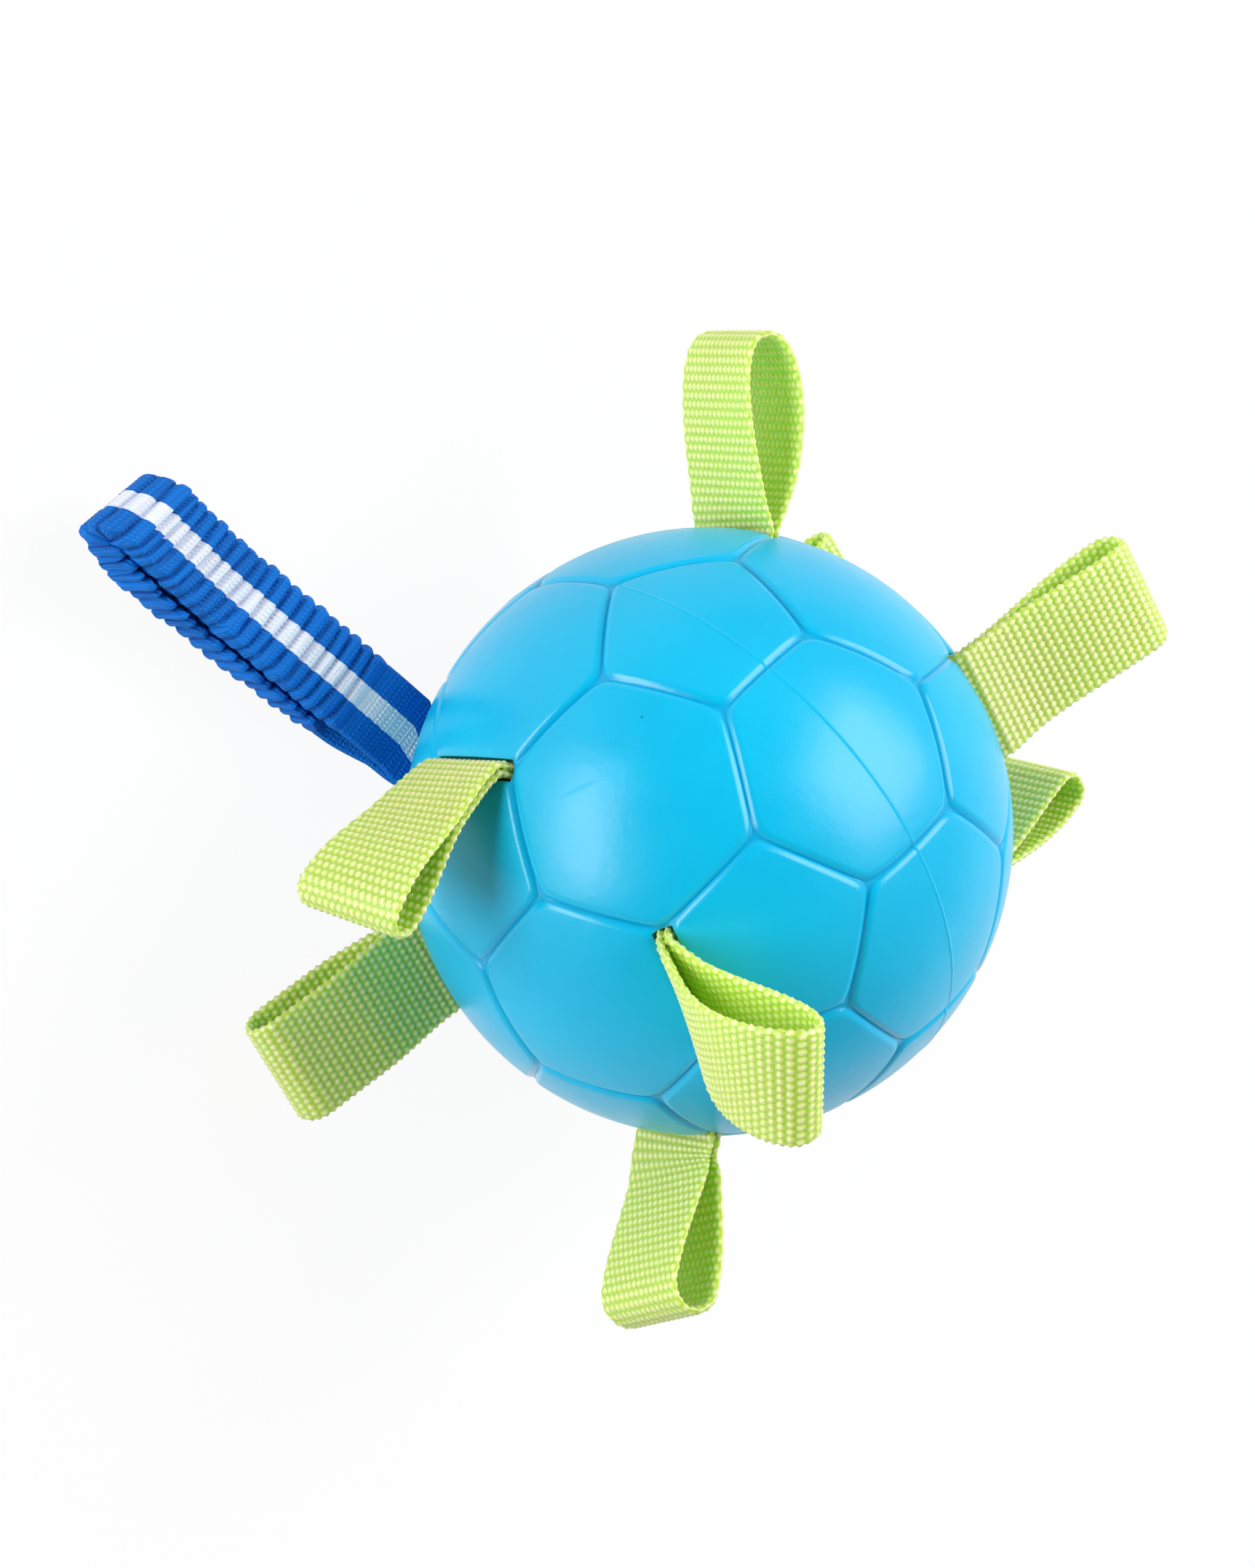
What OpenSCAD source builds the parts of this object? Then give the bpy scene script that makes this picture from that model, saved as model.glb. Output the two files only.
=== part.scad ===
// Dog tug ball: a hollow moulded ball with eight webbing loops and one elastic handle.
// Origin at the centre of the ball, +Z up, the mould's parting plane at y = 0.

/* [Ball] */
// Outside diameter of the ball
ball_d = 150; // [140:1:170]
// Thickness of the moulded wall
wall = 4.5; // [4:0.1:5]
// Radius of a seam groove's round bottom
groove_r = 1.5; // [1.2:0.1:1.8]
// Depth of a seam groove
groove_depth = 1; // [0.8:0.1:1.2]
// Width of the tongue that locates one half shell in the other
tongue_w = 1.6; // [1.2:0.1:2]
// Height of that tongue
tongue_h = 2; // [1.5:0.1:3]

/* [Webbing loops] */
// Width of the green webbing
webbing_w = 28.5; // [26:0.5:29]
// Thickness of one ply of webbing
webbing_t = 1.8; // [1.4:0.1:1.9]
// Length of a strap slot, along its seam
slot_l = 30; // [29.5:0.1:30.2]
// Width of a strap slot
slot_w = 5.2; // [4.8:0.1:6]
// Diameter of an anchor rod
rod_d = 6; // [5:0.1:6]
// Length of an anchor rod
rod_l = 34; // [32:0.5:34]

/* [Handle] */
// Width of the elastic handle
handle_w = 21; // [18:0.5:22]
// Length of the handle, from its slot to the end of its loop
handle_l = 110; // [100:1:120]
// Lean of the handle away from straight out
handle_lean = 50; // [30:1:55]
// Turn of the handle in its own flat
handle_slew = 35; // [25:1:38]
// Length of the flat woven part next to the ball
handle_flat_l = 30; // [26:1:36]
// Distance from one gather to the next
gather_pitch = 4.2; // [3.6:0.1:5]
// Height of a gather
gather_h = 1.5; // [1:0.1:2]

/* [Hidden] */
phi = (1 + sqrt(5)) / 2;
ball_r = ball_d / 2;
clear = 0.3;
smooth = 48;

// Seam pattern: a truncated icosahedron blown up to a sphere
peaks = [for (s = [-1, 1], t = [-1, 1]) each [[0, s, t * phi], [s, t * phi, 0], [t * phi, 0, s]]];
corners = [
    for (p = peaks, q = peaks)
        if (norm(p - q) > 1 && norm(p - q) < 2.1) unit((2 * p + q) / 3)
];
seam_chord = norm(unit([1, 2 + phi, 2 * phi]) - unit([-1, 2 + phi, 2 * phi]));
seams = [
    for (i = [0 : len(corners) - 1], j = [0 : len(corners) - 1])
        if (j > i && norm(corners[i] - corners[j]) < 1.02 * seam_chord) [corners[i], corners[j]]
];
seam_angle = 2 * asin(seam_chord / 2);
// Each groove stops short of its corner, inside a round pit where three grooves meet
seam_trim = 0.9 / ball_r * 180 / PI;
groove_lift = groove_r - groove_depth;
pit_r = 2.1;
pit_lift = 0.9;

// Slot places on the seams
near_axis = 2 + phi;
off_axis = 2 * phi;
handle_slot = [-phi, -1, -phi * phi];
handle_across = [-phi * phi, phi, 1];

// A strap turns about a line just above its slot
bead_r = 2;
hinge_r = ball_r + 1.6;
rod_at = ball_r - wall - rod_d / 2 - webbing_t - 1.7;
root_room = 1.2;
tail_top = hinge_r - bead_r - root_room;
tail_end = rod_at - 18;
tail_fit = 0.1;
stitch_t = 0.5;
stitch_l = 22;
stitch_w = 2.4;

// How each loop lies: slot, direction of its width, lean, curl, length, gap of its eye, slew
side_rear_left = [[-near_axis, off_axis, 0], [0, 0, 1], 11.5, 20, 46.6, 14, 4.5];
side_rear_right = [[near_axis, off_axis, 0], [0, 0, 1], 50.5, 28, 50.5, 5.6, 2.5];
side_front_left = [[-near_axis, -off_axis, 0], [0, 0, 1], 64.5, 23, 47.5, 6.7, -11];
side_front_right = [[near_axis, -off_axis, 0], [0, 0, 1], -16, -9, 45.2, 11.5, 16];
upper_rear = [[0, near_axis, off_axis], [1, 0, 0], -27, 16, 51, 4, -1];
upper_front = [[0, -near_axis, off_axis], [1, 0, 0], -33.5, -45, 50, 12, 13.5];
lower_rear = [[0, near_axis, -off_axis], [1, 0, 0], 51, 7, 51.5, 5.5, -8];
lower_front = [[0, -near_axis, -off_axis], [1, 0, 0], -29.5, -5, 49.8, 4, -0.5];
LOOPS = [
    side_rear_left, side_rear_right, side_front_left, side_front_right,
    upper_rear, upper_front, lower_rear, lower_front
];
// The eye of a loop widens as this power of the distance from the slot
eye_power = 1.25;
eye_peak = eye_power / (eye_power + 0.5);
eye_scale = pow(eye_peak, eye_power) * sqrt(1 - eye_peak);
loop_steps = 24;
// The stem of a slewed strap starts this far inside, and is cut off along the slot
root_l = 14;
reach = 200;

// Handle sections, as distances along it and out of its flat
handle_ply = 1.7;
stem_end = 12;
layer_at = 6;
core_t = 1.2;
core_w = handle_w - 6;
core_fit = 0.2;
skin_t = 1.1;
tip_l = 10;
tip_start = handle_l - tip_l - gather_h;
gathers = floor((tip_start - handle_flat_l) / gather_pitch);
gather_step = (tip_start - handle_flat_l) / gathers;
tack_l = 1.6;
tip_gathers = 7;

BLUE = "#02b9ea";
GREEN = "#bcd773";
ROYAL = "#0a63bd";
WHITE = "#e8ecf2";
GREY = "#80868c";

function unit(v) = v / norm(v);

// Puts local x, y and z along three directions of the ball
module along(x, y, z) {
    multmatrix([[x[0], y[0], z[0], 0], [x[1], y[1], z[1], 0], [x[2], y[2], z[2], 0], [0, 0, 0, 1]])
        children();
}

// Local frame of a slot: x across it, y along it, z straight out of the ball
module at_slot(place, across) {
    out = unit(place);
    width = unit(across);
    along(cross(width, out), width, out) children();
}

// An outline in x (across the slot) and y (out of the ball), w wide along the slot
module strap(w) {
    rotate([90, 0, 0]) linear_extrude(height = w, center = true) children();
}

// Everything behind the line that a strap turns about, square to the strap where it starts
module behind_hinge(lean) {
    rotate([0, lean, 0]) translate([-reach / 2, -reach / 2, -reach]) cube(reach);
}

// Ball

module seam_groove(seam) {
    side = unit(cross(seam[0], seam[1]));
    along(seam[0], cross(side, seam[0]), side)
        rotate([0, 0, seam_trim])
            rotate_extrude(angle = seam_angle - 2 * seam_trim)
                translate([ball_r + groove_lift, 0]) circle(r = groove_r, $fn = smooth);
}

module corner_pit(c) {
    // Near the top and bottom of the ball the pit's own poles are laid on their side, clear of its floor
    turn = abs(c[2]) > 0.9 ? 90 : 0;
    translate((ball_r + pit_lift) * c) rotate([turn, 0, 0]) sphere(r = pit_r, $fn = smooth);
}

module strap_slot(place, across) {
    at_slot(place, across)
        translate([-slot_w / 2, -slot_l / 2, ball_r - 3 * wall]) cube([slot_w, slot_l, 4 * wall]);
}

module tongue(extra) {
    mid_r = ball_r - wall / 2;
    rotate([-90, 0, 0])
        translate([0, 0, -tongue_h])
            difference() {
                cylinder(r = mid_r + tongue_w / 2 + extra, h = 2 * tongue_h + extra, $fn = smooth);
                translate([0, 0, -1])
                    cylinder(r = mid_r - tongue_w / 2 - extra, h = 2 * tongue_h + 2, $fn = smooth);
            }
}

// side is -1 for the front half and 1 for the rear half
module half_ball(side) {
    intersection() {
        difference() {
            sphere(r = ball_r, $fn = 2 * smooth);
            sphere(r = ball_r - wall, $fn = 2 * smooth);
        }
        translate([-ball_d, side > 0 ? 0 : -ball_d, -ball_d]) cube([2 * ball_d, ball_d, 2 * ball_d]);
    }
}

module half_shell(side) {
    difference() {
        half_ball(side);
        for (s = seams) if (side * (s[0][1] + s[1][1]) > -0.01) seam_groove(s);
        for (c = corners) if (side * c[1] > -0.03) corner_pit(c);
        for (l = LOOPS) if (side * l[0][1] > 0) strap_slot(l[0], l[1]);
        if (side < 0) strap_slot(handle_slot, handle_across);
        if (side > 0) tongue(tail_fit);
    }
}

module shell_front() {
    color(BLUE) {
        half_shell(-1);
        tongue(0);
    }
}

module shell_rear() {
    color(BLUE) half_shell(1);
}

// Webbing loops

// Angle of a loop's midline from straight out, and a point on it, at a fraction u of its length
function mid_angle(l, u) = l[2] + l[3] * (u - 0.5);
function mid_point(l, u) =
    let (first = mid_angle(l, 0), here = mid_angle(l, u), bend = l[3] * PI / 180)
    l[4] / bend * [cos(first) - cos(here), sin(here) - sin(first)];

// Half the distance between the middles of the two plies, where v runs from 0 at the slot to 1 at the fold
function half_gap(l, v) =
    webbing_t / 2 * min(1, 8 * (1 - v)) + l[5] / 2 * pow(1 - (1 - v) ^ 2, eye_power) * (1 - v) / eye_scale;
function ply_point(l, v, side) =
    let (u = 1 - (1 - v) ^ 2, a = mid_angle(l, u))
    mid_point(l, u) + side * half_gap(l, v) * [cos(a), -sin(a)];
function band_line(l) = [
    for (i = [0 : loop_steps]) ply_point(l, i / loop_steps, -1),
    for (i = [loop_steps - 1 : -1 : 0]) ply_point(l, i / loop_steps, 1)
];

// A line moved sideways by a distance
function moved(line, by) = [
    for (i = [0 : len(line) - 1])
        let (
            way = unit(line[min(i + 1, len(line) - 1)] - line[max(i - 1, 0)])
        )
        line[i] + by * [-way[1], way[0]]
];

module loop_outline(l) {
    line = band_line(l);
    way = [sin(mid_angle(l, 0)), cos(mid_angle(l, 0))];
    outer = moved(line, webbing_t / 2);
    inner = moved(line, -webbing_t / 2);
    first = [for (i = [1 : loop_steps]) if (2 * half_gap(l, i / loop_steps) - webbing_t > 0.5) i][0];
    last = len(line) - 1 - first;
    difference() {
        polygon([outer[0] - root_l * way, each outer, outer[len(outer) - 1] - root_l * way]);
        polygon([for (i = [first : last]) inner[i]]);
    }
}

module loop(l) {
    color(GREEN)
        at_slot(l[0], l[1])
            translate([0, 0, hinge_r]) {
                difference() {
                    rotate(a = -l[6], v = [cos(l[2]), 0, -sin(l[2])]) strap(webbing_w) loop_outline(l);
                    behind_hinge(mid_angle(l, 0));
                }
                rotate([90, 0, 0]) cylinder(r = bead_r, h = webbing_w, center = true, $fn = smooth);
            }
}

module loop_side_rear_left() {
    loop(side_rear_left);
}

module loop_side_rear_right() {
    loop(side_rear_right);
}

module loop_side_front_left() {
    loop(side_front_left);
}

module loop_side_front_right() {
    loop(side_front_right);
}

module loop_upper_rear() {
    loop(upper_rear);
}

module loop_upper_front() {
    loop(upper_front);
}

module loop_lower_rear() {
    loop(lower_rear);
}

module loop_lower_front() {
    loop(lower_front);
}

// The two plies in the slot, round the anchor rod, and sewn together below it
module tail_outline() {
    pocket_r = rod_d / 2 + tail_fit;
    difference() {
        union() {
            translate([-webbing_t, tail_end]) square([2 * webbing_t, tail_top - tail_end]);
            translate([0, rod_at]) circle(r = pocket_r + webbing_t, $fn = smooth);
        }
        translate([0, rod_at]) circle(r = pocket_r, $fn = smooth);
    }
}

module tail(place, across, w) {
    at_slot(place, across) strap(w) tail_outline();
}

module loop_tail(l) {
    color(GREEN) tail(l[0], l[1], webbing_w);
}

module tail_side_rear_left() {
    loop_tail(side_rear_left);
}

module tail_side_rear_right() {
    loop_tail(side_rear_right);
}

module tail_side_front_left() {
    loop_tail(side_front_left);
}

module tail_side_front_right() {
    loop_tail(side_front_right);
}

module tail_upper_rear() {
    loop_tail(upper_rear);
}

module tail_upper_front() {
    loop_tail(upper_front);
}

module tail_lower_rear() {
    loop_tail(lower_rear);
}

module tail_lower_front() {
    loop_tail(lower_front);
}

module rod(place, across) {
    color(GREY)
        at_slot(place, across)
            translate([0, 0, rod_at])
                rotate([90, 0, 0]) cylinder(d = rod_d, h = rod_l, center = true, $fn = smooth);
}

module rod_side_rear_left() {
    rod(side_rear_left[0], side_rear_left[1]);
}

module rod_side_rear_right() {
    rod(side_rear_right[0], side_rear_right[1]);
}

module rod_side_front_left() {
    rod(side_front_left[0], side_front_left[1]);
}

module rod_side_front_right() {
    rod(side_front_right[0], side_front_right[1]);
}

module rod_upper_rear() {
    rod(upper_rear[0], upper_rear[1]);
}

module rod_upper_front() {
    rod(upper_front[0], upper_front[1]);
}

module rod_lower_rear() {
    rod(lower_rear[0], lower_rear[1]);
}

module rod_lower_front() {
    rod(lower_front[0], lower_front[1]);
}

// Thread on both faces of a sewn tail
module stitches(place, across) {
    at_slot(place, across)
        for (side = [0, 1])
            mirror([side, 0, 0])
                translate([webbing_t, -stitch_l / 2, (tail_end + rod_at - rod_d) / 2])
                    cube([stitch_t, stitch_l, stitch_w]);
}

module loop_stitching() {
    color(GREEN) for (l = LOOPS) stitches(l[0], l[1]);
}

// Handle

// Local frame of the handle: x along it, y out of its flat, extruded across its width
module on_handle() {
    at_slot(handle_slot, handle_across)
        translate([0, 0, hinge_r])
            rotate(a = -handle_slew, v = [cos(handle_lean), 0, -sin(handle_lean)])
                rotate([0, handle_lean, 0])
                    rotate([0, -90, 0])
                        mirror([0, 1, 0]) children();
}

module handle_strap(w) {
    on_handle() strap(w) children();
}

// Flat two-ply part that opens towards the gathers
module base_outline() {
    open = layer_at + handle_ply / 2;
    end = handle_flat_l - tack_l;
    difference() {
        polygon([
            [-root_l, -handle_ply], [stem_end, -handle_ply], [end, -open],
            [end, open], [stem_end, handle_ply], [-root_l, handle_ply]
        ]);
        polygon([[stem_end + 2, 0], [end + 1, handle_ply - open], [end + 1, open - handle_ply]]);
    }
}

module handle_base() {
    color(ROYAL) {
        difference() {
            handle_strap(handle_w) base_outline();
            at_slot(handle_slot, handle_across) translate([0, 0, hinge_r]) behind_hinge(handle_lean);
        }
        at_slot(handle_slot, handle_across)
            translate([0, 0, hinge_r])
                rotate([90, 0, 0]) cylinder(r = bead_r, h = handle_w, center = true, $fn = smooth);
    }
}

// Bars of thread across the end of each ply, where the gathers begin
module handle_tack() {
    color(WHITE)
        handle_strap(core_w)
            for (side = [-1, 1])
                translate([handle_flat_l - tack_l, side * layer_at - handle_ply / 2])
                    square([tack_l, handle_ply]);
}

// Half thickness of the gathered layer at a distance into its gathers
function ruffle(s) = core_t / 2 + skin_t + gather_h * sin(180 * s) ^ 2;

module layer_outline() {
    n = 8 * gathers;
    rim = [for (i = [0 : n]) [handle_flat_l + i / 8 * gather_step, ruffle(i / 8)]];
    translate([0, layer_at])
        polygon([each rim, for (i = [n : -1 : 0]) [rim[i][0], -rim[i][1]]]);
}

module core_outline(extra) {
    translate([handle_flat_l, layer_at - core_t / 2 - extra])
        square([tip_start - handle_flat_l, core_t + 2 * extra]);
}

module sleeve_layer() {
    difference() {
        handle_strap(handle_w) layer_outline();
        handle_strap(core_w + 2 * core_fit) core_outline(core_fit);
    }
}

module handle_sleeve_upper() {
    color(ROYAL) sleeve_layer();
}

module handle_sleeve_lower() {
    color(ROYAL)
        difference() {
            handle_strap(handle_w) mirror([0, 1]) layer_outline();
            handle_strap(core_w + 2 * core_fit) mirror([0, 1]) core_outline(core_fit);
        }
}

module handle_elastic_upper() {
    color(WHITE) handle_strap(core_w) core_outline(0);
}

module handle_elastic_lower() {
    color(WHITE) handle_strap(core_w) mirror([0, 1]) core_outline(0);
}

// The turn at the end of the loop, gathered like the layers that it joins
module turn_outline(half) {
    n = 8 * tip_gathers;
    turn = 180 / n;
    translate([tip_start + clear, 0])
        polygon([
            for (i = [0 : n]) (layer_at + half(i / 8)) * [sin(i * turn), cos(i * turn)],
            for (i = [n : -1 : 0]) (layer_at - half(i / 8)) * [sin(i * turn), cos(i * turn)]
        ]);
}

module handle_sleeve_end() {
    color(ROYAL)
        difference() {
            handle_strap(handle_w) turn_outline(function (s) ruffle(s));
            handle_strap(core_w + 2 * core_fit) turn_outline(function (s) core_t / 2 + core_fit);
        }
}

module handle_elastic_end() {
    color(WHITE) handle_strap(core_w) turn_outline(function (s) core_t / 2);
}

module handle_tail() {
    color(ROYAL) tail(handle_slot, handle_across, handle_w);
}

module handle_rod() {
    rod(handle_slot, handle_across);
}

shell_front();
shell_rear();
loop_side_rear_left();
loop_side_rear_right();
loop_side_front_left();
loop_side_front_right();
loop_upper_rear();
loop_upper_front();
loop_lower_rear();
loop_lower_front();
tail_side_rear_left();
tail_side_rear_right();
tail_side_front_left();
tail_side_front_right();
tail_upper_rear();
tail_upper_front();
tail_lower_rear();
tail_lower_front();
rod_side_rear_left();
rod_side_rear_right();
rod_side_front_left();
rod_side_front_right();
rod_upper_rear();
rod_upper_front();
rod_lower_rear();
rod_lower_front();
loop_stitching();
handle_tail();
handle_rod();
handle_base();
handle_tack();
handle_sleeve_upper();
handle_sleeve_lower();
handle_sleeve_end();
handle_elastic_upper();
handle_elastic_lower();
handle_elastic_end();
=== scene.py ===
"""Dog tug ball: the ball's skin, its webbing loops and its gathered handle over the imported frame."""
import math

import bmesh
import bpy
import numpy as np
from mathutils import Matrix, Vector

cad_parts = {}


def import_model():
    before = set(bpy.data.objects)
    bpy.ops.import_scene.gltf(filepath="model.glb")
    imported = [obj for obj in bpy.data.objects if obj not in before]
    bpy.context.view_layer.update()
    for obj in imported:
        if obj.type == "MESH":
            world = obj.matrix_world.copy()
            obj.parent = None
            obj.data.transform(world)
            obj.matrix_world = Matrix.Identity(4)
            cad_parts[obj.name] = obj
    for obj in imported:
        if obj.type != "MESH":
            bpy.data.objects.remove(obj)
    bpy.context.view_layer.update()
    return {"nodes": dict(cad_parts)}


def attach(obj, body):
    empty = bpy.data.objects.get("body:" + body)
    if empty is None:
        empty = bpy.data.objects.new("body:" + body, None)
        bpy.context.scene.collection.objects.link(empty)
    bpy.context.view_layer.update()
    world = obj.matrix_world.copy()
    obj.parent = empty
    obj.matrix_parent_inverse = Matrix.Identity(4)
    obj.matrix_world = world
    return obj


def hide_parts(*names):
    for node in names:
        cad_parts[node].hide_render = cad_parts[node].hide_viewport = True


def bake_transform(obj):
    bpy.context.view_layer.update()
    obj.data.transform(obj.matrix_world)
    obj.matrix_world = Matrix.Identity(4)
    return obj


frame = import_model()

# Sizes here are in millimetres and angles in degrees; the scene is in metres
MM = 0.001
PHI = (1 + math.sqrt(5)) / 2
BALL_R = 75.0
WALL = 4.5
HINGE_R = 76.6
LIP_R = 75.4
ROD_AT = 64.0
ROD_R = 3.0
TAIL_END = 46.0
SLOT_L = 30.0
SLOT_W = 5.2


def unit(v):
    v = np.asarray(v, float)
    return v / np.linalg.norm(v)


def smoothstep(x):
    x = np.clip(x, 0, 1)
    return x * x * (3 - 2 * x)


# Each loop: its slot on a seam, the way of its width, how it lies (lean, curl, length, eye gap, twist, slew)
# and the shape of its eye: a drop that widens as a power of the distance out, or a round end on an eye that
# opens between two places
NEAR, OFF = 2 + PHI, 2 * PHI
UP, ACROSS = (0, 0, 1), (1, 0, 0)
LOOPS = {
    "side_rear_left": ((-NEAR, OFF, 0), UP, (11.5, 20, 48.0, 14.0, -8.0, 4.5), (0.9,)),
    "side_rear_right": ((NEAR, OFF, 0), UP, (50.5, 28, 51.0, 7.5, 9.0, 2.5), (0.25, 0.85)),
    "side_front_left": ((-NEAR, -OFF, 0), UP, (57.0, 22, 48.5, 7.0, -24.3, 5.2), (0.35, 0.85)),
    "side_front_right": ((NEAR, -OFF, 0), UP, (-16.0, -9, 46.0, 11.0, 5.6, 16.0), (0.0, 0.8)),
    "upper_rear": ((0, NEAR, OFF), ACROSS, (-27.0, 16, 51.5, 8.5, 1.5, -1.0), (0.15, 0.85)),
    "upper_front": ((0, -NEAR, OFF), ACROSS, (-33.5, -45, 51.0, 12.0, -23.0, 13.6), (1.25,)),
    "lower_rear": ((0, NEAR, -OFF), ACROSS, (51.0, 7, 51.5, 4.8, 7.5, -8.0), (1.5,)),
    "lower_front": ((0, -NEAR, -OFF), ACROSS, (-29.5, -5, 50.5, 9.5, 0.4, -0.4), (0.0, 0.55)),
}
HANDLE_SLOT = (-PHI, -1, -PHI * PHI)
HANDLE_ACROSS = (-PHI * PHI, PHI, 1)
HANDLE_LIE = (51.5, 18, 112.5, 0.0, 23.5, 36.0)
HANDLE_SHEAR = -0.39


# Materials

class Nodes:
    """A new material with short calls for its nodes."""

    def __init__(self, name):
        self.material = bpy.data.materials.new(name)
        self.material.use_nodes = True
        self.tree = self.material.node_tree
        self.shader = self.tree.nodes["Principled BSDF"]

    def add(self, kind, vector=None, **values):
        """A node with its inputs or settings given by name, and what goes into its Vector."""
        node = self.tree.nodes.new(kind)
        for key, value in values.items():
            if key in node.inputs:
                node.inputs[key].default_value = value
            else:
                setattr(node, key, value)
        if vector is not None:
            self.link(vector, node.inputs["Vector"])
        return node

    def link(self, a, b):
        self.tree.links.new(a, b)

    def place(self):
        return self.add("ShaderNodeTexCoord").outputs["Object"]

    def noise(self, vector, scale, detail=3.0, rough=0.55):
        node = self.add("ShaderNodeTexNoise", vector, Scale=scale, Detail=detail, Roughness=rough)
        return node.outputs["Fac"]

    def ramp(self, value, low, high, to_low=0.0, to_high=1.0):
        node = self.add("ShaderNodeMapRange")
        set_range(node, low, high, to_low, to_high)
        self.link(value, node.inputs["Value"])
        return node.outputs["Result"]

    def math(self, operation, a, b=0.0):
        node = self.add("ShaderNodeMath", operation=operation)
        for socket, value in zip(node.inputs, (a, b)):
            if isinstance(value, (int, float)):
                socket.default_value = value
            else:
                self.link(value, socket)
        return node.outputs[0]

    def mix(self, factor, a, b):
        node = self.add("ShaderNodeMix", data_type="RGBA")
        self.link(factor, node.inputs["Factor"])
        for socket, value in ((node.inputs[6], a), (node.inputs[7], b)):
            if isinstance(value, tuple):
                socket.default_value = (*value, 1)
            else:
                self.link(value, socket)
        return node.outputs[2]

    def attribute(self, name):
        return self.add("ShaderNodeAttribute", attribute_name=name)

    def bump(self, height, strength, distance, before=None):
        node = self.add("ShaderNodeBump", Strength=strength, Distance=distance)
        self.link(height, node.inputs["Height"])
        if before is not None:
            self.link(before, node.inputs["Normal"])
        return node.outputs["Normal"]

    def finish(self, colour, roughness, normal, **sockets):
        self.link(colour, self.shader.inputs["Base Color"])
        self.link(roughness, self.shader.inputs["Roughness"])
        self.link(normal, self.shader.inputs["Normal"])
        for key, value in sockets.items():
            self.shader.inputs[key.replace("_", " ")].default_value = value
        return self.material


def set_range(node, low, high, to_low, to_high):
    for key, number in (("From Min", low), ("From Max", high), ("To Min", to_low), ("To Max", to_high)):
        node.inputs[key].default_value = number


def linear(r, g, b):
    """A screen colour in 0 to 255 as linear light."""
    return tuple((c / 255 / 12.92) if c < 10 else ((c / 255 + 0.055) / 1.055) ** 2.4 for c in (r, g, b))


BALL_BLUES = linear(0, 179, 224), linear(1, 186, 229)
# Painted shade for the deep part of the grooves
GROOVE_SHADE_BLUE = linear(0, 140, 200)
SPECK_BLUE = linear(8, 78, 110)
# Webbing colours by relief height: painted shade in the weave's valleys, painted sheen on its pearl tops
WEB_VALLEY_SHADE = linear(146, 202, 34)
WEB_FLANK = linear(200, 221, 90)
WEB_PEARL_SHEEN = linear(243, 246, 192)
WEB_PATCH = linear(178, 218, 70)
WEB_FIBRE = linear(230, 240, 150)
# Handle colours by the shade value: painted shade in the gathers' creases, lighter on their tops
GATHER_SHADE_BLUES = linear(0, 50, 128), linear(6, 112, 208)
THREAD_BLUE = linear(12, 140, 232)
STRIPE_SHADE_WHITES = linear(150, 166, 206), linear(232, 236, 244)
STRIPE_FLAT_LIGHT = linear(252, 249, 250)
ELASTIC_WHITES = linear(205, 205, 200), linear(235, 235, 230)
ROD_GREYS = linear(118, 124, 130), linear(134, 140, 146)
THREAD_GREENS = linear(150, 190, 80), linear(180, 212, 110)
FLOOR_GREYS = (0.84, 0.84, 0.84), (0.86, 0.86, 0.86)
# Half the width of the handle's stripe with its ragged edge, and where along the strap its flat part starts,
# over which the stripe is painted brighter to lift the shade there
STRIPE_EDGE = 3.25, 3.45
STRIPE_LIGHT_SPAN = 78.0, 92.0


def ball_material():
    n = Nodes("ball_rubber_moulded")
    place = n.place()
    cloud = n.noise(place, scale=22.0, detail=4.0)
    colour = n.mix(n.ramp(cloud, 0.35, 0.65), *BALL_BLUES)
    hollow = n.attribute("hollow").outputs["Fac"]
    # Painted shade: the deep part of each groove is mixed towards a darker blue
    colour = n.mix(n.ramp(hollow, 0.45, 1.0, to_high=0.4), colour, GROOVE_SHADE_BLUE)
    # Dust specks: small dots in a few cells
    cells = n.add("ShaderNodeTexVoronoi", place, Scale=130.0)
    dot = n.ramp(cells.outputs["Distance"], 0.030, 0.045, to_low=1.0, to_high=0.0)
    split = n.add("ShaderNodeSeparateColor")
    n.link(cells.outputs["Color"], split.inputs["Color"])
    speck = n.math("MULTIPLY", dot, n.ramp(split.outputs["Red"], 0.80, 0.82))
    colour = n.mix(n.math("MULTIPLY", speck, 0.7), colour, SPECK_BLUE)
    # Scuffs: thin streaks of a rougher finish
    stretch = n.add("ShaderNodeMapping", place, Scale=(260.0, 18.0, 40.0), Rotation=(0.5, 0.8, 0.3))
    streak = n.ramp(n.noise(stretch.outputs["Vector"], scale=1.0, detail=2.0), 0.68, 0.74)
    even = n.ramp(n.noise(place, scale=90.0), 0.3, 0.7, to_low=0.27, to_high=0.34)
    rough = n.math("ADD", even, n.math("MULTIPLY", streak, 0.12))
    # The grooves are a little glossier
    rough = n.math("MULTIPLY", rough, n.ramp(hollow, 0.0, 0.08, to_low=1.0, to_high=0.7))
    grain = n.noise(place, scale=1500.0, detail=2.0)
    normal = n.bump(grain, strength=0.10, distance=0.0002)
    normal = n.bump(n.noise(place, scale=260.0, detail=2.0), strength=0.10, distance=0.0006, before=normal)
    return n.finish(colour, rough, normal, Specular_IOR_Level=0.36)


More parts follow.
